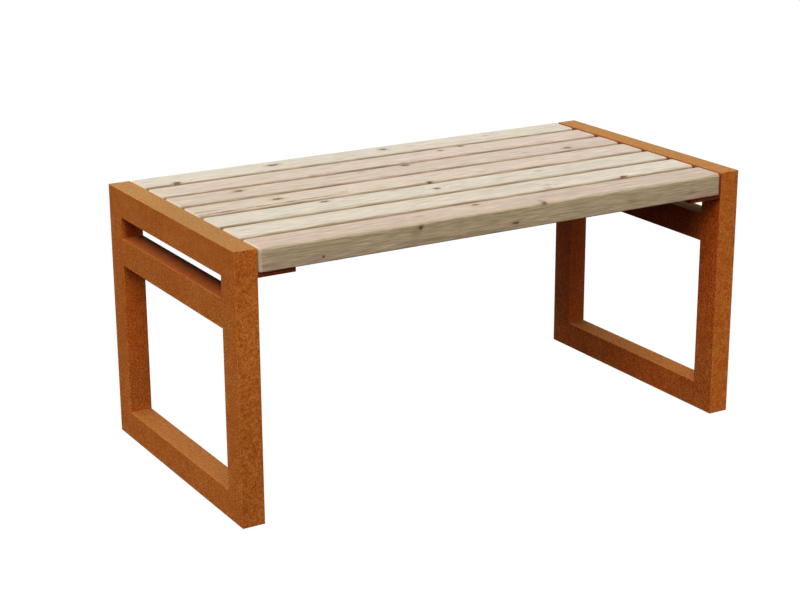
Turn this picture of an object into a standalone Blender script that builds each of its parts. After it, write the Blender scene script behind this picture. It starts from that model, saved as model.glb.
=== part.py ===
"""Garden bench: two end frames of weathering-steel tube that carry a seat of seven timber slats.

Units are metres and +Z is up. X runs along the seat, the front of the bench faces -Y, and the
origin is on the ground under the middle of the bench.
"""

import math

import bmesh
import bpy
from mathutils import Matrix, Vector

# Whole bench
LENGTH = 1.000
DEPTH = 0.500
HEIGHT = 0.460
CLEARANCE = 0.0003  # left between pieces that touch

# Rectangular steel tube of the end frames
TUBE_FACE = 0.050  # its wide side, seen from the end of the bench
TUBE_WIDTH = 0.040  # its narrow side, along X
TUBE_WALL = 0.003
TUBE_CORNER = 0.0025
BORE_CORNER = 0.001
CORNER_STEPS = 3
CROSSBAR_BASE = 0.323  # underside of the tube below the seat, above the ground

# Flat bars under the slats, one welded along the inside of each top rail
BAR_WIDTH = 0.066
BAR_THICKNESS = 0.008
BAR_SETBACK = 0.001  # from the front and back faces of the frame to the bar's ends
BAR_CORNER = 0.0006

# Timber slats, whose tops are flush with the tops of the frames
SLAT_COUNT = 7
SLAT_PITCH = 0.074
SLAT_WIDTH = 0.063
SLAT_THICKNESS = 0.040
SLAT_END_GAP = 0.002  # between a slat's end and the frame
SLAT_CORNER = 0.005
SLAT_LOWER_CORNER = 0.0025  # of the edges underneath
SLAT_STEPS = 3

# Countersunk wood screws, driven up through the flat bars
SCREW_RADIUS = 0.003
SCREW_LENGTH = 0.036
SCREW_TIP = 0.004  # length of the pointed end
HEAD_RADIUS = 0.0055
HEAD_RIM = 0.0004  # height of the head's straight rim
HEAD_HEIGHT = 0.003
SOCKET_RADIUS = 0.0022
SOCKET_DEPTH = 0.002
SCREW_SIDES = 10
SCREW_SPREAD = 0.016  # from the middle of a slat to each of its two screws
BAR_HOLE_SLACK = 0.0004  # all round each screw, where it passes through the bar

# Planes and places that the pieces share
FRAME_INSIDE = LENGTH / 2 - TUBE_WIDTH
FRAME_MIDDLE = LENGTH / 2 - TUBE_WIDTH / 2
BAR_TOP = HEIGHT - SLAT_THICKNESS
BAR_BASE = BAR_TOP - BAR_THICKNESS
BAR_MIDDLE = FRAME_INSIDE - CLEARANCE - BAR_WIDTH / 2
SLAT_BASE = BAR_TOP + CLEARANCE
PAST = 0.01  # how far a cutter runs past the surface that it cuts

SIDES = {"left": -1, "right": 1}
ENDS = {"front": -1, "back": 1}

STEEL = ((0.27, 0.085, 0.018), 0.85, 0.0)
SHADED_STEEL = ((0.14, 0.035, 0.010), 0.9, 0.0)
TIMBERS = (
    ((0.58, 0.54, 0.42), 0.6, 0.0),
    ((0.61, 0.53, 0.43), 0.6, 0.0),
    ((0.57, 0.48, 0.40), 0.6, 0.0),
    ((0.58, 0.50, 0.41), 0.6, 0.0),
    ((0.62, 0.58, 0.44), 0.6, 0.0),
    ((0.64, 0.58, 0.46), 0.6, 0.0),
    ((0.60, 0.52, 0.42), 0.6, 0.0),
)
STAINLESS = ((0.55, 0.55, 0.54), 0.35, 1.0)


def clear_scene():
    for obj in list(bpy.data.objects):
        bpy.data.objects.remove(obj)


def new_collection(name):
    collection = bpy.data.collections.new(name)
    bpy.context.scene.collection.children.link(collection)
    return collection


def new_material(name, look):
    colour, roughness, metallic = look
    material = bpy.data.materials.new(name)
    material.use_nodes = True
    shader = material.node_tree.nodes["Principled BSDF"]
    shader.inputs["Base Color"].default_value = (*colour, 1.0)
    shader.inputs["Roughness"].default_value = roughness
    shader.inputs["Metallic"].default_value = metallic
    return material


def new_object(name, mesh, place, collection, parent=None):
    obj = bpy.data.objects.new(name, mesh)
    collection.objects.link(obj)
    obj.location = place
    if parent:
        obj.parent = parent
        obj.location = Vector(place) - parent.location
    return obj


def box_mesh(name, size):
    shape = bmesh.new()
    bmesh.ops.create_cube(shape, size=1.0)
    bmesh.ops.scale(shape, vec=size, verts=shape.verts)
    mesh = bpy.data.meshes.new(name)
    shape.to_mesh(mesh)
    shape.free()
    return mesh


def turned_mesh(name, profile, cutter=None):
    """Solid of revolution about Z, from a profile that runs from the top of the axis to its foot."""
    shape = bmesh.new()
    points = [shape.verts.new((radius, 0, z)) for radius, z in profile]
    for start, end in zip(points, points[1:]):
        shape.edges.new((start, end))
    outline = bpy.data.meshes.new(name + "_profile")
    shape.to_mesh(outline)
    shape.free()
    blank = bpy.data.objects.new(name + "_blank", outline)
    bpy.context.scene.collection.objects.link(blank)
    turn = blank.modifiers.new("turned", "SCREW")
    turn.steps = SCREW_SIDES
    turn.render_steps = SCREW_SIDES
    turn.use_merge_vertices = True
    turn.merge_threshold = 0.0001
    if cutter:
        cut(blank, cutter)
    graph = bpy.context.evaluated_depsgraph_get()
    mesh = bpy.data.meshes.new_from_object(blank.evaluated_get(graph))
    mesh.name = name
    bpy.data.objects.remove(blank)
    return mesh


def repeated_mesh(name, mesh, places):
    """Copies of one mesh at several places, as one mesh."""
    shape = bmesh.new()
    for place in places:
        copy = mesh.copy()
        copy.transform(Matrix.Translation(place))
        shape.from_mesh(copy)
        bpy.data.meshes.remove(copy)
    joined = bpy.data.meshes.new(name)
    shape.to_mesh(joined)
    shape.free()
    return joined


def hide_cutter(obj):
    obj.hide_render = True
    obj.display_type = "WIRE"


def cut(obj, cutter):
    boolean = obj.modifiers.new(cutter.name, "BOOLEAN")
    boolean.operation = "DIFFERENCE"
    boolean.solver = "EXACT"
    boolean.object = cutter


def round_edges(obj, radius, steps):
    bevel = obj.modifiers.new("rounded_edges", "BEVEL")
    bevel.width = radius
    bevel.segments = steps
    bevel.limit_method = "ANGLE"


def round_by_edge(obj, largest, steps, radius_of):
    """Rounds each edge by the radius that the given function makes of its two ends."""
    mesh = obj.data
    weights = mesh.attributes.new("bevel_weight_edge", "FLOAT", "EDGE")
    for edge in mesh.edges:
        start, end = (mesh.vertices[i].co for i in edge.vertices)
        weights.data[edge.index].value = radius_of(start, end) / largest
    bevel = obj.modifiers.new("rounded_corners", "BEVEL")
    bevel.width = largest
    bevel.segments = steps
    bevel.limit_method = "WEIGHT"


def round_long_edges(obj, axis, radius, steps):
    """Rounds only the four edges that run along the given axis."""
    round_by_edge(
        obj, radius, steps, lambda start, end: radius if start[axis] != end[axis] else 0.0
    )


def slat_radius(start, end):
    """The radius of a slat's edge: smaller on the four edges underneath."""
    return SLAT_CORNER if max(start.z, end.z) > 0 else SLAT_LOWER_CORNER


class Bench:
    def __init__(self):
        clear_scene()
        self.pieces = new_collection("garden_bench")
        self.cutters = new_collection("cutters")

    def cutter(self, name, mesh, place):
        obj = new_object(name, mesh, place, self.cutters)
        hide_cutter(obj)
        return obj

    def empty(self, name, place):
        return new_object(name, None, place, self.pieces)

    def tube(self, name, axis, length, place, parent):
        """A straight tube whose length runs along the given axis, open at both ends."""
        size = Vector((TUBE_WIDTH, TUBE_FACE, TUBE_FACE))
        bore = size - Vector((2 * TUBE_WALL,) * 3)
        size[axis] = length
        bore[axis] = length + 2 * PAST
        tube = new_object(name, box_mesh(name, size), place, self.pieces, parent)
        round_long_edges(tube, axis, TUBE_CORNER, CORNER_STEPS)
        tube.data.materials.append(new_material(name, STEEL))
        hole = self.cutter(name + "_bore", box_mesh(name + "_bore", bore), place)
        round_long_edges(hole, axis, BORE_CORNER, 1)
        cut(tube, hole)
        return tube

    def mitre_cutters(self):
        """Blocks whose faces lie along the 45 degree mitres, keyed by the end, height and tube cut."""
        reach = 2.5 * TUBE_FACE
        found = {}
        for end, y_side in ENDS.items():
            for height, z_side, rail_z in (
                ("top", 1, HEIGHT - TUBE_FACE / 2),
                ("bottom", -1, TUBE_FACE / 2),
            ):
                middle = Vector((0, y_side * (DEPTH - TUBE_FACE) / 2, rail_z))
                towards_rail = Vector((0, -y_side, z_side)).normalized()
                for kind, side in (("leg", 1), ("rail", -1)):
                    name = f"{end}_{height}_{kind}_mitre"
                    mesh = box_mesh(name, (LENGTH + 2 * PAST, reach, reach))
                    shift = side * (reach - CLEARANCE) / 2
                    block = self.cutter(name, mesh, middle + shift * towards_rail)
                    block.rotation_euler.x = math.radians(45)
                    found[end, height, kind] = block
        return found

    def end_frame(self, side, mitres):
        """Two legs and two rails, mitred into a ring, with a crossbar between the legs."""
        x = SIDES[side] * FRAME_MIDDLE
        ring = self.empty(f"{side}_end_frame", (x, 0, 0))
        for end, y_side in ENDS.items():
            place = (x, y_side * (DEPTH - TUBE_FACE) / 2, HEIGHT / 2)
            leg = self.tube(f"{side}_{end}_leg", 2, HEIGHT, place, ring)
            for height in ("top", "bottom"):
                cut(leg, mitres[end, height, "leg"])
        for height, z in (("top", HEIGHT - TUBE_FACE / 2), ("bottom", TUBE_FACE / 2)):
            rail = self.tube(f"{side}_{height}_rail", 1, DEPTH, (x, 0, z), ring)
            for end in ENDS:
                cut(rail, mitres[end, height, "rail"])
        between_legs = DEPTH - 2 * TUBE_FACE - 2 * CLEARANCE
        place = (x, 0, CROSSBAR_BASE + TUBE_FACE / 2)
        self.tube(f"{side}_crossbar", 1, between_legs, place, ring)
        return ring

    def support_bar(self, side, ring, holes):
        name = f"{side}_support_bar"
        size = (BAR_WIDTH, DEPTH - 2 * BAR_SETBACK, BAR_THICKNESS)
        place = (SIDES[side] * BAR_MIDDLE, 0, BAR_BASE + BAR_THICKNESS / 2)
        bar = new_object(name, box_mesh(name, size), place, self.pieces, ring)
        round_edges(bar, BAR_CORNER, 1)
        bar.data.materials.append(new_material(name, SHADED_STEEL))
        cut(bar, holes)

    def slat(self, number, seat, holes):
        """Slats are numbered from the back of the bench to its front."""
        name = f"slat_{number}"
        size = (2 * (FRAME_INSIDE - SLAT_END_GAP), SLAT_WIDTH, HEIGHT - SLAT_BASE)
        place = (0, slat_middle(number), (HEIGHT + SLAT_BASE) / 2)
        slat = new_object(name, box_mesh(name, size), place, self.pieces, seat)
        round_by_edge(slat, SLAT_CORNER, SLAT_STEPS, slat_radius)
        slat.data.materials.append(new_material(name, TIMBERS[number - 1]))
        cut(slat, holes)

    def screw_mesh(self):
        """Countersunk screw that points up, with a six-sided socket. The foot of its head is at z = 0."""
        socket = bmesh.new()
        bmesh.ops.create_cone(
            socket,
            cap_ends=True,
            segments=6,
            radius1=SOCKET_RADIUS,
            radius2=SOCKET_RADIUS,
            depth=2 * SOCKET_DEPTH,
        )
        mesh = bpy.data.meshes.new("screw_socket")
        socket.to_mesh(mesh)
        socket.free()
        cutter = self.cutter("screw_socket", mesh, (0, 0, 0))
        screw = turned_mesh("screw", screw_profile(0, 0), cutter)
        screw.shade_smooth()
        screw.set_sharp_from_angle(angle=math.radians(40))
        screw.materials.clear()
        screw.materials.append(new_material("screw", STAINLESS))
        return screw

    def screw_holes(self, name, slack, past, spots):
        """A cutter for every screw's hole, wider than the screw by the slack."""
        hole = turned_mesh(name + "_one", screw_profile(slack, past))
        return self.cutter(name, repeated_mesh(name, hole, spots), (0, 0, 0))

    def build(self):
        mitres = self.mitre_cutters()
        rings = {side: self.end_frame(side, mitres) for side in SIDES}
        places = screw_places()
        spots = places.values()
        bar_holes = self.screw_holes("bar_holes", BAR_HOLE_SLACK, PAST, spots)
        pilot_holes = self.screw_holes("pilot_holes", CLEARANCE, PAST, spots)
        for side, ring in rings.items():
            self.support_bar(side, ring, bar_holes)
        seat = self.empty("seat", (0, 0, SLAT_BASE))
        for number in range(1, SLAT_COUNT + 1):
            self.slat(number, seat, pilot_holes)
        screw = self.screw_mesh()
        for name, place in places.items():
            new_object(name, screw, place, self.pieces, seat)


def screw_profile(slack, past):
    """Radii and heights from the tip down. Past is how far a cutter runs below the head."""
    top = SCREW_LENGTH + slack
    return [
        (0, top),
        (SCREW_RADIUS + slack, top - SCREW_TIP),
        (SCREW_RADIUS + slack, HEAD_HEIGHT),
        (HEAD_RADIUS + slack, HEAD_RIM),
        (HEAD_RADIUS + slack, -past),
        (0, -past),
    ]


def slat_middle(number):
    return ((SLAT_COUNT + 1) / 2 - number) * SLAT_PITCH


def screw_places():
    """The foot of each screw: two for each slat in each bar, on the bar's centre line."""
    places = {}
    for side, x_side in SIDES.items():
        for number in range(1, SLAT_COUNT + 1):
            for letter, shift in (("a", SCREW_SPREAD), ("b", -SCREW_SPREAD)):
                y = slat_middle(number) + shift
                place = Vector((x_side * BAR_MIDDLE, y, BAR_BASE + CLEARANCE))
                places[f"{side}_screw_{number}{letter}"] = place
    return places


Bench().build()
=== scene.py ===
"""Looks of the garden bench: end frames of rusted steel tube and a seat of knotty softwood slats.

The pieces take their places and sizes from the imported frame, and the finer shapes are named below.
Units are metres, +X runs along the seat from its left end to its right end, and the front of the
bench faces -Y.
"""

import math

import bmesh
import bpy
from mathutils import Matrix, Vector, noise


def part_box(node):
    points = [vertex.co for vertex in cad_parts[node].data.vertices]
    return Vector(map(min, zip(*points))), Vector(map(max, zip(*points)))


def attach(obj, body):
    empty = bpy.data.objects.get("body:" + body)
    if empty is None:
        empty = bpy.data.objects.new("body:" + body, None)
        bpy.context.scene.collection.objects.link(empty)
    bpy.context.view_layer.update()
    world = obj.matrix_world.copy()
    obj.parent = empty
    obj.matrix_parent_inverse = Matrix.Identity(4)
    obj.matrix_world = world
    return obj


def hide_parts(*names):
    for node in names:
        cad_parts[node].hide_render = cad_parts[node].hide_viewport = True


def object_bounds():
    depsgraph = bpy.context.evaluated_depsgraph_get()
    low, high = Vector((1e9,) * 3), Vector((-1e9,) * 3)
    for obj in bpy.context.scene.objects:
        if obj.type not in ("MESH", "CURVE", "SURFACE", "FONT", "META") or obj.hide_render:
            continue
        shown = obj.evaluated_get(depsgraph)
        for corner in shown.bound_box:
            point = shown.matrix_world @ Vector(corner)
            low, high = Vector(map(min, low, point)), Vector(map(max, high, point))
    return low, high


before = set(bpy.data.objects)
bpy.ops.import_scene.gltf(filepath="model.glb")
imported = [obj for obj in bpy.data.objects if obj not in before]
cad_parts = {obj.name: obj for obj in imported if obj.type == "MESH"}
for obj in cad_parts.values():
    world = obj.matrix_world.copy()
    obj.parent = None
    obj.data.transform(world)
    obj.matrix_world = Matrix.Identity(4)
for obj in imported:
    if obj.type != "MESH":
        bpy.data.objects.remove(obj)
cad_low, cad_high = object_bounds()

BODY = "root"
SIDES = ("left", "right")
SLAT_NUMBERS = range(1, 8)  # from the back of the bench to its front
SHARP_ANGLE = math.radians(35)  # faces that meet at less than this are shaded as one surface

# Planes of the end frames, which mirror one another, and half the width of a slat
HEIGHT = cad_high.z
FRAME_FRONT, LEG_BACK = (corner.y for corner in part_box("right_front_leg"))
FRAME_INSIDE, FRAME_OUTSIDE = (corner.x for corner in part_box("right_top_rail"))
RAIL_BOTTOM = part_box("right_top_rail")[0].z
CROSSBAR_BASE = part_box("right_crossbar")[0].z
LOW_RAIL_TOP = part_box("right_bottom_rail")[1].z
SLAT_HALF = (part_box("slat_1")[1].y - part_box("slat_1")[0].y) / 2

# Shape of the steel tubes
TUBE_WALL = 0.003
TUBE_CORNER = 0.0012
BORE_CORNER = 0.0006
CORNER_STEPS = 5
MITRE_EASING = 0.0010  # radius of the ground-off corner where a leg meets a rail
EASING_RINGS = 6
TUBE_RINGS = 16  # along the straight stretch between the mitres
STEEL_WAVE = 0.0001  # how far the steel strays from flat
STEEL_WAVE_RATE = 9

# Shape of the slats
SLAT_CORNER = 0.005
SLAT_LOWER_CORNER = 0.0026
SLAT_END_CORNER = 0.008  # of the upright edges at its two ends
SLAT_SHIFT = -0.001  # the slats lie a little nearer the left end frame
SLAT_STEPS = 7
END_RINGS = 9
SLAT_RINGS = 80  # along each slat, so that it can wander a little
SLAT_WAVE = 0.0002  # how far a slat strays from straight
SWAY_RATE = 7  # of a slat's sideways wander along it
DIP_RATES = (11, 30)  # of the ups and downs of its top, along it and across it

# Shape of the support bars and of the screws
BAR_CORNER = 0.0007
BAR_CORNER_STEPS = 3
HEAD_RADIUS = 0.0055
HEAD_RIM = 0.0004
HEAD_HEIGHT = 0.003
SHANK_RADIUS = 0.003
TIP_LENGTH = 0.004
SOCKET_RADIUS = 0.0022
SOCKET_DEPTH = 0.002
ROUND_SIDES = 40
HOLE_SLACK = 0.0004
PILOT_SLACK = 0.0003
PAST = 0.006  # how far a cutter runs past the surface that it cuts

# Rust: its three browns from dark to light, and the bloom on what faces the sky
OPEN_RUST = {
    "deep": (0.49, 0.094, 0.006),
    "rust": (0.67, 0.168, 0.016),
    "bright": (0.82, 0.275, 0.050),
}
# Darker browns, painted shade for the support bars under the seat
BAR_SHADED_RUST = {
    "deep": (0.22, 0.031, 0.004),
    "rust": (0.40, 0.054, 0.0055),
    "bright": (0.56, 0.096, 0.009),
}
OPEN_BLOOM = (0.455, 0.245, 0.067)
# A redder bloom, painted shade for the crossbars' tops in the slots under the top rails
SLOT_SHADED_BLOOM = (0.44, 0.095, 0.011)
# A darker bloom, painted shade for the support bars under the seat
BAR_SHADED_BLOOM = (0.30, 0.09, 0.03)

# Tones that multiply the rust's colour at a place on the frames. The first two are the rust's own; the
# rest paint light and shade.
LOW_BLOOM = (1.03, 0.70, 0.45)
RUDDY_BLOOM = (1.42, 0.92, 0.54)
# Painted shade under the seat, redder and darker; warmer painted light on parts of it; more painted
# shade high up under it
SHADE_RED = (0.85, 0.42, 0.40)
SHADE_DARK = (0.62, 0.62, 0.62)
WARM_LIGHT_TONE = (1.27, 1.12, 0.80)
UNDER_SEAT_SHADE = (0.74, 0.74, 0.74)
# Painted shade on the back legs' front faces, most on the right one, and painted light on the left one
BACK_LEG_SHADE = (0.70, 0.52, 0.60)
LIT_TONE = (1.33, 1.14, 0.88)
# Painted shade in the slots between the crossbars and the top rails, and under the left crossbar
SLOT_SHADE = (0.55, 0.34, 0.36)
# A grey-green painted reflection on the right crossbar's top, and a painted shadow along the left
# one's inner edge
GREY_REFLECTION_TONE = (0.78, 1.55, 1.15)
SLOT_SHADOW_TONE = (0.22, 0.17, 0.12)
# Painted shade on the top rails' inner faces
RAIL_SHADE_TONE = (0.55, 0.55, 0.55)

# Timber
RING_PITCH_TOP = 90.0  # growth rings in a metre across the top, and down the sides
RING_PITCH_SIDE = 290.0
SIDE_TINT_AND_SHADE = (0.66, 0.505, 0.30)  # partly where the sun hasn't bleached the wood, partly painted shade on the slats' sides
SIDE_BLUSH_AND_SHADE = (0.63, 0.445, 0.30)
# Painted shade beside the gaps between the slats
GAP_SHADE_TONE = (0.57, 0.49, 0.41)
RESIN = (0.27, 0.155, 0.085)
LATE_WOOD = (0.42, 0.30, 0.17)
KNOT_HALO = (0.41, 0.225, 0.120)
KNOT_HEART = (0.130, 0.066, 0.030)
KNOT_DEPTH = 0.012  # how far a knot goes into the front of a slat
END_BAND = 0.004  # length of the paler wood at a slat's ends
END_TINT = (0.80, 0.63, 0.42)

# Steel of the screws
CLEAN_STEEL = (0.58, 0.57, 0.55)
STAINED_STEEL = (0.36, 0.31, 0.26)

# Camera, light and floor
CAMERA_PLACE = (-1.62882, -2.64980, 1.22941)
CAMERA_TURN = (72.598, 0.064, -31.450)  # degrees
CAMERA_LENS = 81.44
CAMERA_SHIFT = (-0.02938, -0.01532)
# Soft lamps: where each one shines from, how wide it is in degrees, and its strength
LAMPS = {
    "key": ((-0.4, -0.4, 1.0), 60, 1.88),
    "back": ((0.0, 1.0, 0.7), 80, 1.35),
    "front": ((0.0, -1.0, 0.7), 80, 0.82),
    "left": ((-1.0, 0.0, 0.7), 80, 0.42),
    "right": ((1.0, 0.0, 0.7), 80, 0.20),
}
ROOM_LEVEL = 0.01  # how much light comes from everywhere else
FLOOR_RADIUS = 40.0
FLOOR_SHADE = 0.02  # how much light the floor sends back, besides its own even glow


# Meshes


def new_piece(name, shape):
    """An object made of this bmesh, smooth over gentle angles."""
    mesh = bpy.data.meshes.new(name)
    bmesh.ops.recalc_face_normals(shape, faces=shape.faces)
    shape.to_mesh(mesh)
    shape.free()
    mesh.shade_smooth()
    mesh.set_sharp_from_angle(angle=SHARP_ANGLE)
    piece = bpy.data.objects.new(name, mesh)
    bpy.context.scene.collection.objects.link(piece)
    return piece


def even_shading(piece):
    """Keeps the flat faces flat in the light, next to their rounded edges."""
    weighted = piece.modifiers.new("even_shading", "WEIGHTED_NORMAL")
    weighted.keep_sharp = True
    weighted.weight = 80


def rounded_outline(low, high, radii, steps):
    """Points round a rectangle, each with how far it lies round its corner, from 0 to 1 to 0.

    Radii are those of the low-low, high-low, high-high and low-high corners.
    """
    corners = (
        (low[0], low[1], 1, 1, 180),
        (high[0], low[1], -1, 1, 270),
        (high[0], high[1], -1, -1, 0),
        (low[0], high[1], 1, -1, 90),
    )
    points = []
    for (u, v, u_in, v_in, start), radius in zip(corners, radii):
        for step in range(steps + 1):
            turn = math.radians(start + 90 * step / steps)
            worn = math.sin(math.pi * step / steps)
            point = (
                u + u_in * radius + radius * math.cos(turn),
                v + v_in * radius + radius * math.sin(turn),
            )
            points.append((point, worn))
    return points


def skin(shape, rings):
    """Faces between rings of vertices that follow one another."""
    for ring, following in zip(rings, rings[1:]):
        for i in range(len(ring)):
            j = (i + 1) % len(ring)
            shape.faces.new((ring[i], ring[j], following[j], following[i]))


def turned(shape, profile, foot):
    """A solid of revolution about Z over a foot, from a profile that starts and ends at radius 0."""
    rings = []
    for radius, z in profile[1:-1]:
        ring = []
        for side in range(ROUND_SIDES):
            turn = 2 * math.pi * side / ROUND_SIDES
            offset = Vector((radius * math.cos(turn), radius * math.sin(turn), z))
            ring.append(shape.verts.new(foot + offset))
        rings.append(ring)
    skin(shape, rings)
    for (_, z), ring in ((profile[0], rings[0]), (profile[-1], rings[-1])):
        pole = shape.verts.new(foot + Vector((0, 0, z)))
        for i in range(ROUND_SIDES):
            shape.faces.new((pole, ring[i], ring[(i + 1) % ROUND_SIDES]))


def carve(piece, cutter):
    """Cuts the cutter out of the piece for good, and removes the cutter."""
    boolean = piece.modifiers.new("cut", "BOOLEAN")
    boolean.operation = "DIFFERENCE"
    boolean.solver = "EXACT"
    boolean.object = cutter
    graph = bpy.context.evaluated_depsgraph_get()
    cut = bpy.data.meshes.new_from_object(piece.evaluated_get(graph))
    piece.modifiers.clear()
    piece.data = cut
    piece.data.set_sharp_from_angle(angle=SHARP_ANGLE)
    bpy.data.objects.remove(cutter)


def finish_piece(piece, node, material):
    """Puts a piece in the place of the CAD node that it shows in more detail."""
    piece.data.materials.clear()
    piece.data.materials.append(material)
    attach(piece, BODY)
    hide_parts(node)


# Steel tubes


def ease_corner(point):
    """Rounds off a point of an end frame that is near one of the frame's four outer corners."""
    out_y = math.copysign(1, point.y)
    out_z = math.copysign(1, point.z - HEIGHT / 2)
    centre_y = out_y * (abs(FRAME_FRONT) - MITRE_EASING)
    centre_z = HEIGHT / 2 + out_z * (HEIGHT / 2 - MITRE_EASING)
    past_y = out_y * (point.y - centre_y)
    past_z = out_z * (point.z - centre_z)
    reach = math.hypot(past_y, past_z)
    if past_y > 0 and past_z > 0 and reach > MITRE_EASING:
        point.y = centre_y + out_y * past_y * MITRE_EASING / reach
        point.z = centre_z + out_z * past_z * MITRE_EASING / reach


def tube_stations(length, mitre):
    """Pairs of a distance along a tube and which way its ring leans there: 1, 0 or -1."""
    near = [MITRE_EASING * step / EASING_RINGS for step in range(EASING_RINGS + 1)]
    start = mitre + 2 * MITRE_EASING
    run = length - 2 * start
    middle = [start + run * step / TUBE_RINGS for step in range(TUBE_RINGS + 1)]
    stations = [(distance, 1) for distance in near]
    stations += [(distance, 0) for distance in middle]
    stations += [(length - distance, -1) for distance in reversed(near)]
    return stations


def tube_skin(shape, wear, outline, axis, start, stations, outer):
    """One surface of a tube, inside or outside, as its rings."""
    rings = []
    for distance, lean in stations:
        ring = []
        for (x, w), worn in outline:
            skew = 0.0 if outer is None else lean * abs(w - outer)
            point = Vector((x, 0, 0))
            point[3 - axis] = w
            point[axis] = start + distance + skew
            point.x += STEEL_WAVE * noise.noise(point * STEEL_WAVE_RATE)
            if outer is not None:
                ease_corner(point)
            vertex = shape.verts.new(point)
            vertex[wear] = worn
            ring.append(vertex)
        rings.append(ring)
    skin(shape, rings)
    return rings


def tube(name, axis, low, high, outer=None):
    """A hollow rectangular tube along Y (axis 1) or Z (axis 2).

    Outer is the place of its face that lies on the outside of the frame, the longer one between
    its mitres. A tube without it has square ends.
    """
    shape = bmesh.new()
    wear = shape.verts.layers.float.new("wear")
    across = 3 - axis
    mitre = high[across] - low[across]
    stations = tube_stations(high[axis] - low[axis], mitre)
    skins = []
    for wall, corner in ((0.0, TUBE_CORNER), (TUBE_WALL, BORE_CORNER)):
        outline = rounded_outline(
            (low.x + wall, low[across] + wall),
            (high.x - wall, high[across] - wall),
            (corner,) * 4,
            CORNER_STEPS,
        )
        skins.append(tube_skin(shape, wear, outline, axis, low[axis], stations, outer))
    for end in (0, -1):
        skin(shape, [skins[0][end], skins[1][end]])
    piece = new_piece(name, shape)
    even_shading(piece)
    return piece


def end_frame(side, steel, crossbar_steel):
    """The five tubes of an end frame, which meet without the small gaps of the CAD model."""
    for name, axis, outer_is_low in (
        ("front_leg", 2, True),
        ("back_leg", 2, False),
        ("top_rail", 1, False),
        ("bottom_rail", 1, True),
    ):
        low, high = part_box(f"{side}_{name}")
        outer = low[3 - axis] if outer_is_low else high[3 - axis]
        low[axis] = 0.0 if axis == 2 else FRAME_FRONT
        high[axis] = HEIGHT if axis == 2 else -FRAME_FRONT
        piece = tube(f"{side}_{name}_tube", axis, low, high, outer)
        finish_piece(piece, f"{side}_{name}", steel)
    low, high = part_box(f"{side}_crossbar")
    low.y -= TUBE_CORNER
    high.y += TUBE_CORNER
    piece = tube(f"{side}_crossbar_tube", 1, low, high)
    finish_piece(piece, f"{side}_crossbar", crossbar_steel)


# Screws and support bars


def screw_profile(length, slack, past):
    """Radii and heights of a countersunk screw or of its hole, from the tip down."""
    return [
        (0, length + slack),
        (SHANK_RADIUS + slack, length + slack - TIP_LENGTH),
        (SHANK_RADIUS + slack, HEAD_HEIGHT),
        (HEAD_RADIUS + slack, HEAD_RIM),
        (HEAD_RADIUS + slack, -past),
        (0, -past),
    ]


def screw_names(side):
    return [f"{side}_screw_{number}{letter}" for number in SLAT_NUMBERS for letter in "ab"]


def screw_foot(name):
    """The middle of a screw's flat face, and the screw's length."""
    low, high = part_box(name)
    middle = (low + high) / 2
    return Vector((middle.x, middle.y, low.z)), high.z - low.z


def hole_cutter(names, slack):
    shape = bmesh.new()
    for name in names:
        foot, length = screw_foot(name)
        turned(shape, screw_profile(length, slack, PAST), foot)
    return new_piece("holes", shape)


def socket_cutter(foot):
    """A six-sided prism, which cuts the socket for a key into a screw's flat face."""
    shape = bmesh.new()
    made = bmesh.ops.create_cone(
        shape,
        cap_ends=True,
        segments=6,
        radius1=SOCKET_RADIUS,
        radius2=SOCKET_RADIUS,
        depth=2 * SOCKET_DEPTH,
    )
    bmesh.ops.translate(shape, vec=foot, verts=made["verts"])
    return new_piece("socket", shape)


def screws(side, steel):
    for name in screw_names(side):
        foot, length = screw_foot(name)
        shape = bmesh.new()
        turned(shape, screw_profile(length, 0, 0), foot)
        piece = new_piece(f"{name}_turned", shape)
        carve(piece, socket_cutter(foot))
        finish_piece(piece, name, steel)


def support_bar(side, steel):
    name = f"{side}_support_bar"
    low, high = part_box(name)
    shape = bmesh.new()
    bmesh.ops.create_cube(shape, size=1.0)
    bmesh.ops.scale(shape, vec=high - low, verts=shape.verts)
    bmesh.ops.translate(shape, vec=(low + high) / 2, verts=shape.verts)
    bmesh.ops.bevel(
        shape,
        geom=shape.edges[:],
        offset=BAR_CORNER,
        segments=BAR_CORNER_STEPS,
        profile=0.5,
        affect="EDGES",
    )
    piece = new_piece(f"{name}_flat", shape)
    carve(piece, hole_cutter(screw_names(side), HOLE_SLACK))
    finish_piece(piece, name, steel)


# Slats


def slat_stations(length):
    """Distances along a slat, close together where its ends are rounded."""
    near = [SLAT_END_CORNER * (step / END_RINGS) ** 2 for step in range(END_RINGS + 1)]
    run = length - 2 * SLAT_END_CORNER
    middle = [SLAT_END_CORNER + run * step / SLAT_RINGS for step in range(1, SLAT_RINGS)]
    return near + middle + [length - distance for distance in reversed(near)]


def drawn_in(distance, radius):
    """How far a quarter circle of this radius draws a surface in, at a distance from an end."""
    past = max(radius - distance, 0.0)
    return radius - math.sqrt(radius * radius - past * past)


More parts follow.
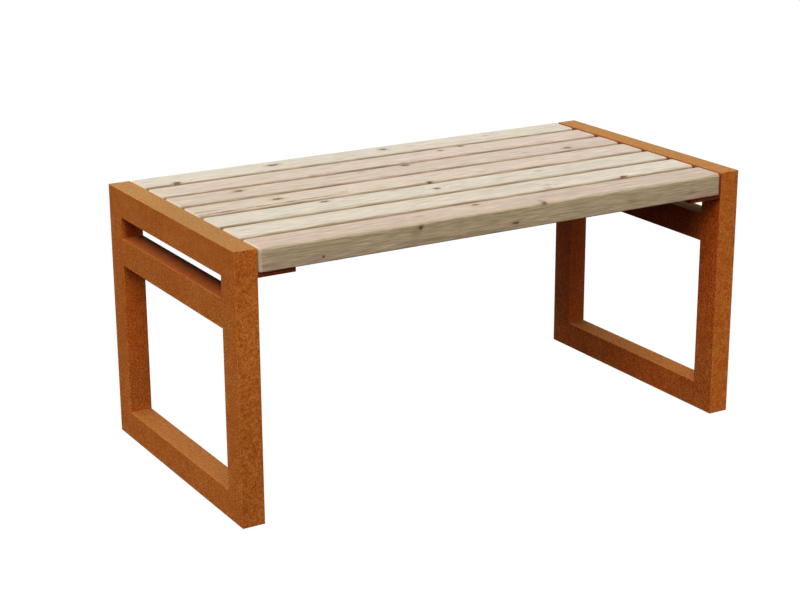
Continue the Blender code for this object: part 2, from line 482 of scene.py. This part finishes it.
def slat_ring(shape, number, low, high, station):
    """The slat's outline at a distance from its left end, as a ring of vertices."""
    end = min(station, high.x - low.x - station)
    x = low.x + station + SLAT_SHIFT
    side = drawn_in(end, SLAT_END_CORNER)
    outline = rounded_outline(
        (low.y + side, low.z + drawn_in(end, SLAT_LOWER_CORNER)),
        (high.y - side, high.z - drawn_in(end, SLAT_CORNER)),
        (SLAT_LOWER_CORNER, SLAT_LOWER_CORNER, SLAT_CORNER, SLAT_CORNER),
        SLAT_STEPS,
    )
    sway = SLAT_WAVE * noise.noise(Vector((x * SWAY_RATE, number, 0)))
    ring = []
    for (y, z), _ in outline:
        spot = Vector((x * DIP_RATES[0], y * DIP_RATES[1], number))
        dip = SLAT_WAVE * (noise.noise(spot) - 0.5)
        lift = dip if z > (low.z + high.z) / 2 else 0.0
        ring.append(shape.verts.new((x, y + sway, z + lift)))
    return ring


def slat(number, timber):
    name = f"slat_{number}"
    low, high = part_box(name)
    shape = bmesh.new()
    stations = slat_stations(high.x - low.x)
    rings = [slat_ring(shape, number, low, high, station) for station in stations]
    skin(shape, rings)
    for ring in (rings[0], rings[-1]):
        shape.faces.new(ring)
    piece = new_piece(f"{name}_board", shape)
    holes = [f"{side}_screw_{number}{letter}" for side in SIDES for letter in "ab"]
    carve(piece, hole_cutter(holes, PILOT_SLACK))
    even_shading(piece)
    finish_piece(piece, name, timber)


# Materials


class Graph:
    """A material's nodes, with one short call for each kind."""

    def __init__(self, name, roughness, specular, metallic=0.0):
        self.material = bpy.data.materials.new(name)
        self.material.use_nodes = True
        self.tree = self.material.node_tree
        self.shader = self.tree.nodes["Principled BSDF"]
        self.shader.inputs["Roughness"].default_value = roughness
        self.shader.inputs["Specular IOR Level"].default_value = specular
        self.shader.inputs["Metallic"].default_value = metallic

    def plug(self, socket, value):
        if isinstance(value, bpy.types.NodeSocket):
            self.tree.links.new(value, socket)
        elif socket.type == "RGBA":
            socket.default_value = (*value, 1.0)
        else:
            socket.default_value = value

    def node(self, kind, inputs=None, **settings):
        """A node with these settings. Its inputs are numbers, colours or other nodes' outputs."""
        made = self.tree.nodes.new(kind)
        for name, value in settings.items():
            setattr(made, name, value)
        for key, value in (inputs or {}).items():
            self.plug(made.inputs[key], value)
        return made

    def place(self):
        return self.node("ShaderNodeTexCoord").outputs["Object"]

    def facing(self):
        """The way the surface faces, as x, y and z."""
        return self.split(self.node("ShaderNodeNewGeometry").outputs["True Normal"])

    def attribute(self, name):
        return self.node("ShaderNodeAttribute", attribute_name=name).outputs["Fac"]

    def split(self, vector):
        return self.node("ShaderNodeSeparateXYZ", {0: vector}).outputs

    def math(self, operation, first, second=0.0):
        return self.node("ShaderNodeMath", {0: first, 1: second}, operation=operation).outputs[0]

    def absolute(self, value):
        return self.math("ABSOLUTE", value)

    def product(self, *values):
        """The values multiplied together: where each of them is a mask, what they have in common."""
        total = values[0]
        for value in values[1:]:
            total = self.math("MULTIPLY", total, value)
        return total

    def blend(self, *parts):
        """The sum of the values, each times its share."""
        total = None
        for value, share in parts:
            part = self.math("MULTIPLY", value, share)
            total = part if total is None else self.math("ADD", total, part)
        return total

    def stretch(self, vector, scale, shift=(0, 0, 0)):
        inputs = {0: vector, 1: scale, 2: shift}
        made = self.node("ShaderNodeVectorMath", inputs, operation="MULTIPLY_ADD")
        return made.outputs["Vector"]

    def length(self, vector):
        return self.node("ShaderNodeVectorMath", {0: vector}, operation="LENGTH").outputs["Value"]

    def noise(self, vector, scale, detail=2.0, roughness=0.5):
        inputs = {"Vector": vector, "Scale": scale, "Detail": detail, "Roughness": roughness}
        return self.node("ShaderNodeTexNoise", inputs).outputs["Fac"]

    def span(self, value, low, high, start=0.0, end=1.0):
        """The value mapped from low..high to start..end, held at both ends."""
        inputs = {0: value, 1: low, 2: high, 3: start, 4: end}
        made = self.node("ShaderNodeMapRange", inputs, interpolation_type="SMOOTHSTEP")
        return made.outputs[0]

    def mix(self, amount, first, second):
        made = self.node("ShaderNodeMix", data_type="RGBA")
        self.plug(made.inputs[0], amount)
        self.plug(made.inputs[6], first)
        self.plug(made.inputs[7], second)
        return made.outputs[2]

    def scaled(self, colour, amount):
        """The colour made lighter or darker."""
        made = self.node("ShaderNodeVectorMath", {0: colour}, operation="SCALE")
        self.plug(made.inputs["Scale"], amount)
        return made.outputs["Vector"]

    def tinted(self, colour, tint):
        """The colour multiplied by another."""
        made = self.node("ShaderNodeVectorMath", {0: colour, 1: tint}, operation="MULTIPLY")
        return made.outputs["Vector"]

    def toned(self, amount, colour, tone):
        """The colour, tinted with the tone where the amount is 1 and left alone where it is 0."""
        return self.mix(amount, colour, self.tinted(colour, tone))

    def bump(self, height, depth, under=None):
        made = self.node("ShaderNodeBump", {"Height": height, "Distance": depth})
        if under:
            self.plug(made.inputs["Normal"], under)
        return made.outputs[0]

    def finish(self, colour, normal, roughness=None):
        self.plug(self.shader.inputs["Base Color"], colour)
        self.plug(self.shader.inputs["Normal"], normal)
        if roughness:
            self.plug(self.shader.inputs["Roughness"], roughness)
        return self.material


# Rusted steel. Each function from here to the one that grades the front and back faces takes the
# steel's colour and adds what one kind of place does to it; several of them paint light and shade.
# A place is picked out by spans along X, Y and Z and of the way the surface faces.


def under_tops(g, z):
    """1 below the tops of the end frames, and 0 at them."""
    return g.span(z, HEIGHT + 0.002, HEIGHT - 0.010)


def shaded_inner_faces(g, colour, facing, place):
    """Painted shade on what faces the space under the seat, redder and darker, with painted light on
    parts of it.
    """
    x, y, z = place
    inward = g.product(under_tops(g, z), g.span(g.product(facing[0], x), -0.1, -0.4))
    # Painted shade: redder higher up and towards the back, and darker towards the back
    reddest = g.span(y, FRAME_FRONT, -0.1, 0.5, 1.0)
    redder = g.product(inward, g.span(z, 0.0, 0.34, 0.25, reddest))
    colour = g.toned(redder, colour, SHADE_RED)
    darker = g.product(inward, g.span(y, LEG_BACK, 0.15))
    colour = g.toned(darker, colour, SHADE_DARK)

    # Painted light, warmer and brighter, on the front legs' inner faces above the bottom rails and on
    # the bottom rails' inner faces towards the back
    leg = g.product(g.span(y, LEG_BACK + 0.010, LEG_BACK - 0.010), g.span(z, LOW_RAIL_TOP, 0.30))
    rail = g.span(z, LOW_RAIL_TOP + 0.010, LOW_RAIL_TOP - 0.005)
    rail = g.product(g.span(y, LEG_BACK + 0.010, -0.08), rail)
    colour = g.toned(g.product(inward, g.math("ADD", leg, rail)), colour, WARM_LIGHT_TONE)
    # Painted shade high up under the seat, behind the front legs
    crossbar = g.span(z, CROSSBAR_BASE - 0.008, CROSSBAR_BASE + 0.002)
    crossbar = g.product(crossbar, g.span(y, LEG_BACK, LEG_BACK + 0.040))
    return g.toned(g.product(inward, crossbar), colour, UNDER_SEAT_SHADE)


def back_legs(g, colour, facing, place):
    """Back legs' front faces: painted shade, most on the right; on the left, painted light below a
    painted shadow.
    """
    x, y, z = place
    front = g.product(g.span(facing[1], -0.5, -0.9), g.span(y, 0.1, 0.19))
    dull = g.product(front, g.span(x, -0.4, 0.4, 0.35, 1.0))
    colour = g.toned(dull, colour, BACK_LEG_SHADE)
    left = g.product(front, g.span(x, 0.4, -0.4))
    lit = g.product(left, g.span(z, 0.08, 0.20), g.span(z, 0.315, 0.28))
    colour = g.toned(lit, colour, LIT_TONE)
    # Painted shadow at the top of the left back leg's front face, under its crossbar
    top = g.product(left, g.span(z, 0.285, 0.315), g.span(z, 0.35, 0.33))
    top = g.product(top, g.span(g.absolute(x), FRAME_OUTSIDE, FRAME_OUTSIDE - 0.025))
    return g.toned(top, colour, SLOT_SHADE)


def crossbar_tops(g, colour, facing, place):
    """A grey-green painted reflection on the right crossbar's top, and a painted shadow on the left
    one's inner edge.
    """
    x, _, z = place
    top = g.product(g.span(facing[2], 0.5, 0.9), g.span(z, 0.2, 0.3))
    top = g.product(top, g.span(z, RAIL_BOTTOM - 0.020, RAIL_BOTTOM - 0.030))
    colour = g.toned(g.product(top, g.span(x, 0.2, 0.4)), colour, GREY_REFLECTION_TONE)
    edge = g.span(g.absolute(x), FRAME_INSIDE + 0.019, FRAME_INSIDE + 0.001)
    return g.toned(g.product(top, g.span(x, -0.2, -0.4), edge), colour, SLOT_SHADOW_TONE)


def slot_ends(g, colour, facing, place):
    """Painted shade on the legs' faces between a crossbar and a top rail."""
    x, y, z = place
    away = g.absolute(x)
    ends = g.product(
        g.span(g.absolute(facing[1]), 0.5, 0.9),
        g.span(away, FRAME_OUTSIDE - 0.001, FRAME_OUTSIDE - 0.014),
        g.span(away, FRAME_INSIDE + 0.002, FRAME_INSIDE + 0.020),
        g.span(g.absolute(y), 0.030 - LEG_BACK, 0.020 - LEG_BACK),
        g.span(z, RAIL_BOTTOM - 0.040, RAIL_BOTTOM - 0.036),
    )
    return g.toned(ends, colour, SLOT_SHADE)


def shaded_rail_insides(g, colour, place):
    """Painted shade on the top rails' inner faces, where the slats end against them."""
    x, _, z = place
    stain = g.product(
        g.span(g.absolute(x), FRAME_INSIDE + 0.0012, FRAME_INSIDE),
        g.span(z, RAIL_BOTTOM - 0.005, RAIL_BOTTOM + 0.005),
        under_tops(g, z),
    )
    return g.toned(stain, colour, RAIL_SHADE_TONE)


def bloomed(g, colour, bloom, mixed, facing, place):
    """A bloom on what faces the sky, redder low down and duller where hands rub the top rails."""
    x, y, z = place
    dullest = g.span(x, -0.4, 0.4, 0.86, 0.95)
    rubbed = g.span(g.absolute(g.math("ADD", y, 0.10)), 0.04, 0.28, dullest, 1.0)
    ruddy = g.product(g.span(x, 0.2, 0.4), g.span(y, 0.1, -0.15))
    low_bloom = g.mix(ruddy, g.tinted(bloom, LOW_BLOOM), g.tinted(bloom, RUDDY_BLOOM))
    bloom = g.mix(g.span(z, 0.1, 0.4), low_bloom, g.scaled(bloom, rubbed))
    up = g.product(g.span(facing[2], 0.2, 0.9), g.span(mixed, 0.42, 0.58, 0.50, 1.0))
    return g.mix(up, colour, bloom)


def speckled(g, colour, grit, facing, place):
    """Light and dark grit, fainter on faces to the front or back and on the top rails' sides."""
    x, y, z = place
    on_ends = g.math("ADD", g.span(x, -0.4, 0.4, 0.15, 0.10), g.span(y, 0.0, 0.15, 0.0, 0.14))
    contrast = g.span(g.absolute(facing[1]), 0.2, 0.9, 0.28, on_ends)
    rail_side = g.span(g.absolute(facing[0]), 0.5, 0.9)
    rail_side = g.product(rail_side, g.span(z, RAIL_BOTTOM - 0.010, RAIL_BOTTOM + 0.010))
    contrast = g.product(contrast, g.span(rail_side, 0.0, 1.0, 1.0, 0.25))
    level = g.product(g.span(grit, 0.3, 0.7, -1.0, 1.0), contrast)
    return g.scaled(colour, g.math("ADD", 1.0, level))


def front_back_levels(g, colour, facing, place):
    """Faces to the front or back, darker near the ground at the left."""
    x, _, z = place
    level = g.span(z, 0.0, 0.42, g.span(x, -0.4, 0.4, 0.86, 1.04), 1.05)
    ends = g.span(g.absolute(facing[1]), 0.5, 0.9)
    return g.mix(ends, colour, g.scaled(colour, level))


def rusted_steel(name, deep, rust, bright, bloom):
    """Weathering steel: grit in three browns, a bloom on top, worn edges, and painted shade in its
    corners and under the seat, with some painted light.
    """
    g = Graph(name, roughness=0.85, specular=0.25)
    position = g.place()
    place = g.split(position)
    facing = g.facing()
    grit = g.noise(position, 330, detail=3, roughness=0.7)
    speck = g.noise(position, 900, detail=1)
    blotch = g.noise(position, 60, detail=3, roughness=0.6)
    cloud = g.noise(position, 9, detail=3)
    mixed = g.blend((grit, 0.60), (blotch, 0.26), (cloud, 0.14))
    colour = g.mix(g.span(mixed, 0.37, 0.51), deep, rust)
    colour = g.mix(g.span(mixed, 0.50, 0.64), colour, bright)
    colour = bloomed(g, colour, bloom, mixed, facing, place)
    worn = g.product(g.attribute("wear"), g.span(blotch, 0.3, 0.7, 0.05, 0.3))
    colour = g.mix(worn, colour, bright)
    colour = speckled(g, colour, grit, facing, place)
    # Tones at places on the frames, most of them painted light and shade
    for place_tone in (front_back_levels, shaded_inner_faces, back_legs, crossbar_tops, slot_ends):
        colour = place_tone(g, colour, facing, place)
    colour = shaded_rail_insides(g, colour, place)
    normal = g.bump(grit, 0.0006, g.bump(speck, 0.0002))
    return g.finish(colour, normal, g.span(blotch, 0.3, 0.7, 0.72, 0.92))


# Timber. A local place on a slat is along X, across from its middle line and up from its top.


def knot_distance(g, place, knots):
    """How far a point is from the nearest knot, in knot radii: 0 in its middle and 1 at its rim."""
    nearest = None
    for centre, radii in knots:
        scale = [1 / radius if radius else 0.0 for radius in radii]
        shift = [-c * k for c, k in zip(centre, scale)]
        distance = g.length(g.stretch(place, scale, shift))
        nearest = distance if nearest is None else g.math("MINIMUM", nearest, distance)
    return nearest


def late_wood(g, local, slow, nearest):
    """The dark half of each growth ring. The rings bulge round the knots."""
    along, across, down = g.split(local)
    bulge = g.span(nearest, 0.0, 4.5, 2.2, 0.0)
    phase = g.blend((across, RING_PITCH_TOP), (down, RING_PITCH_SIDE), (slow, 9.0), (bulge, 1.0))
    return g.span(g.math("PINGPONG", phase, 0.5), 0.22, 0.5)


def knotted(g, colour, strong, faint, ruffle):
    """The colour with faint knots, then strong ones: a warm halo round a dark heart."""
    colour = g.mix(g.span(faint, 1.7, 0.2, 0.0, 0.45), colour, KNOT_HALO)
    strong = g.math("ADD", strong, ruffle)
    colour = g.mix(g.span(strong, 2.1, 0.8, 0.0, 0.5), colour, KNOT_HALO)
    return g.mix(g.span(strong, 1.15, 0.45, 0.0, 0.88), colour, KNOT_HEART)


def wood_tint(g, look, along, down, slow, up):
    """The wood's colour, which drifts along the slat; yellower and darker on its sides, partly
    unbleached wood and partly painted shade.
    """
    tint = g.mix(g.span(along, -0.42, 0.42), look["left"], look["right"])
    tint = g.mix(g.span(slow, 0.35, 0.65, 0.0, 0.5), tint, look["vein"])
    blush = g.product(g.span(slow, 0.45, 0.62), g.span(down, -0.015, -0.032))
    return g.mix(up, g.mix(blush, SIDE_TINT_AND_SHADE, SIDE_BLUSH_AND_SHADE), tint)


def shaded_gaps(g, colour, number, local):
    """Painted shade beside the gaps, more of it on the slat behind a gap than on the one in front."""
    across = g.split(local)[1]
    patchy = g.noise(g.stretch(local, (8, 0, 0), (number, 0, 0)), 1.0)
    patchy = g.span(patchy, 0.35, 0.65, 0.25, 1.0)
    if number < SLAT_NUMBERS[-1]:
        edge = g.span(across, 0.0033 - SLAT_HALF, 0.0001 - SLAT_HALF)
        colour = g.toned(g.product(edge, patchy), colour, GAP_SHADE_TONE)
    if number > SLAT_NUMBERS[0]:
        edge = g.span(across, SLAT_HALF - 0.0080, SLAT_HALF - 0.0003, 0.0, 0.6)
        colour = g.toned(g.product(edge, patchy), colour, GAP_SHADE_TONE)
    return colour


def resinous(g, colour, seams, local, slow, up):
    """Broken dark lines of resin along the top, each from a start to an end on its line."""
    along, across, _ = g.split(local)
    for start, end, line in seams:
        offset = g.math("ADD", across, -line)
        offset = g.math("ADD", offset, g.span(slow, 0.2, 0.8, -0.002, 0.002))
        broken = g.noise(g.stretch(local, (30, 0, 0), (line * 1000, 0, 0)), 1.0)
        seam = g.product(
            g.span(g.absolute(offset), 0.0040, 0.0012),
            g.span(along, end, end - 0.10),
            g.span(along, start - 0.02, start),
            g.span(broken, 0.4, 0.6, 0.5, 1.0),
            up,
        )
        colour = g.mix(seam, colour, RESIN)
    return colour


def softwood(number, look):
    """Pale planed softwood: growth rings, fine fibres, painted shade beside the gaps, resin, knots and
    pale ends.
    """
    g = Graph(f"timber_{number}", roughness=0.62, specular=0.3)
    low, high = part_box(f"slat_{number}")
    local = g.stretch(g.place(), (1, 1, 1), (0, -(low.y + high.y) / 2, -high.z))
    along, _, down = g.split(local)
    strong = knot_distance(g, local, look["strong"])
    faint = knot_distance(g, local, look["faint"])
    slow = g.noise(g.stretch(local, (2.2, 14, 14), (number * 3.1, 0, 0)), 1.0, detail=3)
    late = late_wood(g, local, slow, g.math("MINIMUM", strong, faint))
    fibre = g.noise(g.stretch(local, (24, 480, 480), (number * 5.3, 0, 0)), 1.0, 3, 0.6)
    streak = g.noise(g.stretch(local, (3, 130, 130), (number * 7.7, 0, 0)), 1.0)
    up = g.span(g.facing()[2], 0.2, 0.9)
    depth = g.span(up, 0.0, 1.0, 1.2, 1.0)  # the grain is fainter where the sun has bleached it

    colour = wood_tint(g, look, along, down, slow, up)
    colour = g.mix(g.product(late, depth, 0.22), colour, LATE_WOOD)
    lines = g.span(fibre, 0.25, 0.75, -0.24, 0.24)
    lines = g.math("ADD", lines, g.span(streak, 0.3, 0.7, -0.06, 0.06))
    colour = g.scaled(colour, g.math("ADD", 1.0, g.product(lines, depth)))
    colour = shaded_gaps(g, colour, number, local)
    colour = resinous(g, colour, look.get("resin", ()), local, slow, up)
    ruffle = g.span(g.noise(local, 160), 0.3, 0.7, -0.25, 0.25)
    colour = knotted(g, colour, strong, faint, ruffle)
    from_end = g.math("SUBTRACT", high.x, g.absolute(along))
    colour = g.mix(g.span(from_end, END_BAND, END_BAND - 0.0015, 0.0, 0.85), colour, END_TINT)
    return g.finish(colour, g.bump(g.blend((fibre, 0.6), (late, 0.25)), 0.00025))


def top_knot(x, across, length, width):
    """A knot on top of a slat, which goes right through it: its middle and its radii."""
    return (x, across, 0.0), (length, width, 0.0)


def front_knot(x, down, length, height):
    """A knot on the front face of the front slat, which goes a little way into it."""
    return (x, -SLAT_HALF, -down), (length, KNOT_DEPTH, height)


# Each slat's colours, its knots and any seams of resin, as (start, end, line across)
SLAT_LOOKS = {
    1: {
        "left": (0.743, 0.664, 0.538),
        "right": (0.743, 0.664, 0.549),
        "vein": (0.698, 0.608, 0.481),
        "strong": [
            top_knot(-0.193, 0.002, 0.013, 0.006),
            top_knot(0.040, 0.005, 0.009, 0.005),
            top_knot(-0.395, -0.027, 0.007, 0.005),
        ],
        "faint": [top_knot(0.270, 0.002, 0.008, 0.005), top_knot(-0.065, -0.020, 0.007, 0.004)],
    },
    2: {
        "left": (0.724, 0.599, 0.481),
        "right": (0.724, 0.599, 0.492),
        "vein": (0.658, 0.525, 0.406),
        "strong": [
            top_knot(0.178, 0.024, 0.007, 0.004),
            top_knot(0.127, 0.015, 0.006, 0.004),
        ],
        "faint": [
            top_knot(-0.167, -0.030, 0.009, 0.004),
            top_knot(-0.085, 0.026, 0.008, 0.004),
            top_knot(0.020, -0.029, 0.007, 0.004),
        ],
    },
    3: {
        "left": (0.689, 0.557, 0.446),
        "right": (0.679, 0.557, 0.457),
        "vein": (0.636, 0.506, 0.385),
        "strong": [
            top_knot(-0.329, 0.011, 0.010, 0.007),
            top_knot(0.010, 0.022, 0.009, 0.006),
            top_knot(0.343, -0.018, 0.009, 0.006),
        ],
        "faint": [top_knot(0.252, -0.009, 0.009, 0.005), top_knot(-0.082, 0.021, 0.008, 0.005)],
    },
    4: {
        "left": (0.718, 0.615, 0.469),
        "right": (0.718, 0.593, 0.489),
        "vein": (0.697, 0.551, 0.437),
        "strong": [top_knot(-0.297, 0.001, 0.011, 0.006), top_knot(-0.015, -0.030, 0.006, 0.003)],
        "faint": [top_knot(-0.180, -0.015, 0.008, 0.005), top_knot(0.102, -0.017, 0.008, 0.005)],
        "resin": [(-0.46, -0.15, -0.0262), (-0.46, -0.36, -0.010)],
    },
    5: {
        "left": (0.737, 0.672, 0.539),
        "right": (0.727, 0.662, 0.539),
        "vein": (0.684, 0.599, 0.464),
        "strong": [top_knot(-0.237, 0.018, 0.009, 0.005), top_knot(-0.030, -0.005, 0.006, 0.006)],
        "faint": [top_knot(-0.102, 0.023, 0.009, 0.005), top_knot(0.192, 0.009, 0.008, 0.006)],
    },
    6: {
        "left": (0.751, 0.668, 0.539),
        "right": (0.751, 0.668, 0.551),
        "vein": (0.707, 0.605, 0.464),
        "strong": [top_knot(0.297, -0.029, 0.007, 0.003)],
        "faint": [top_knot(0.135, -0.029, 0.009, 0.004), top_knot(0.145, -0.010, 0.007, 0.004)],
    },
    7: {
        "left": (0.651, 0.500, 0.385),
        "right": (0.642, 0.526, 0.419),
        "vein": (0.632, 0.473, 0.367),
        "strong": [
            top_knot(-0.034, 0.016, 0.008, 0.004),
            front_knot(-0.169, 0.0085, 0.005, 0.004),
            front_knot(0.015, 0.0273, 0.008, 0.0025),
            front_knot(-0.347, 0.0295, 0.0025, 0.0022),
            front_knot(0.074, 0.0016, 0.005, 0.003),
        ],
        "faint": [
            top_knot(-0.152, 0.000, 0.008, 0.005),
            front_knot(-0.178, 0.0160, 0.009, 0.008),
            front_knot(-0.150, 0.0320, 0.050, 0.0035),
            front_knot(-0.060, 0.0345, 0.050, 0.0030),
            front_knot(0.258, 0.0248, 0.008, 0.004),
            front_knot(0.391, 0.0249, 0.008, 0.004),
        ],
    },
}


def stainless_steel():
    """Brushed stainless steel, dulled a little by the weather."""
    g = Graph("stainless_steel", roughness=0.4, specular=0.5, metallic=1.0)
    place = g.place()
    brushed = g.noise(g.stretch(place, (1500, 1500, 200)), 1.0, detail=2)
    stain = g.noise(place, 260, detail=3)
    colour = g.mix(g.span(stain, 0.35, 0.7), CLEAN_STEEL, STAINED_STEEL)
    return g.finish(colour, g.bump(brushed, 0.00003), g.span(stain, 0.3, 0.7, 0.3, 0.5))


# Stage


def camera():
    data = bpy.data.cameras.new("camera")
    data.lens = CAMERA_LENS
    data.shift_x, data.shift_y = CAMERA_SHIFT
    data.clip_start = 0.05
    made = bpy.data.objects.new("camera", data)
    made.location = CAMERA_PLACE
    made.rotation_euler = [math.radians(angle) for angle in CAMERA_TURN]
    bpy.context.scene.collection.objects.link(made)
    bpy.context.scene.camera = made


def lamps():
    for name, (direction, spread, strength) in LAMPS.items():
        data = bpy.data.lights.new(name, "SUN")
        data.energy = strength
        data.angle = math.radians(spread)
        lamp = bpy.data.objects.new(name, data)
        lamp.rotation_euler = Vector(direction).to_track_quat("Z", "Y").to_euler()
        bpy.context.scene.collection.objects.link(lamp)


def surroundings():
    """A room that looks white to the camera and gives the bench only a little light."""
    world = bpy.data.worlds.new("studio")
    bpy.context.scene.world = world
    world.use_nodes = True
    tree = world.node_tree
    tree.nodes.clear()
    light = tree.nodes.new("ShaderNodeBackground")
    light.inputs["Strength"].default_value = ROOM_LEVEL
    seen = tree.nodes.new("ShaderNodeBackground")
    for background in (light, seen):
        background.inputs["Color"].default_value = (1, 1, 1, 1)
    path = tree.nodes.new("ShaderNodeLightPath")
    either = tree.nodes.new("ShaderNodeMixShader")
    tree.links.new(path.outputs["Is Camera Ray"], either.inputs[0])
    tree.links.new(light.outputs[0], either.inputs[1])
    tree.links.new(seen.outputs[0], either.inputs[2])
    output = tree.nodes.new("ShaderNodeOutputWorld")
    tree.links.new(either.outputs[0], output.inputs["Surface"])


def floor():
    """A pale floor with an even glow, which shows white to the camera and doesn't light the bench."""
    shape = bmesh.new()
    bmesh.ops.create_circle(shape, cap_ends=True, radius=FLOOR_RADIUS, segments=64)
    ground = new_piece("floor", shape)
    ground.visible_diffuse = False
    ground.visible_glossy = False
    material = bpy.data.materials.new("pale_floor")
    material.use_nodes = True
    shader = material.node_tree.nodes["Principled BSDF"]
    shader.inputs["Base Color"].default_value = (FLOOR_SHADE, FLOOR_SHADE, FLOOR_SHADE, 1)
    shader.inputs["Roughness"].default_value = 1.0
    shader.inputs["Specular IOR Level"].default_value = 0.0
    shader.inputs["Emission Color"].default_value = (1, 1, 1, 1)
    shader.inputs["Emission Strength"].default_value = 1.0
    ground.data.materials.append(material)


def build():
    frame_steel = rusted_steel("rusted_steel", **OPEN_RUST, bloom=OPEN_BLOOM)
    # Painted shade: a redder bloom for the crossbars' tops in the slots
    crossbar_steel = rusted_steel("slot_shaded_rusted_steel", **OPEN_RUST, bloom=SLOT_SHADED_BLOOM)
    # Painted shade: darker rust for the support bars under the seat
    bar_steel = rusted_steel("seat_shaded_rusted_steel", **BAR_SHADED_RUST, bloom=BAR_SHADED_BLOOM)
    screw_steel = stainless_steel()
    for side in SIDES:
        end_frame(side, frame_steel, crossbar_steel)
        support_bar(side, bar_steel)
        screws(side, screw_steel)
    for number in SLAT_NUMBERS:
        slat(number, softwood(number, SLAT_LOOKS[number]))


camera()
lamps()
surroundings()
floor()
bpy.context.scene.view_settings.view_transform = "Standard"
build()
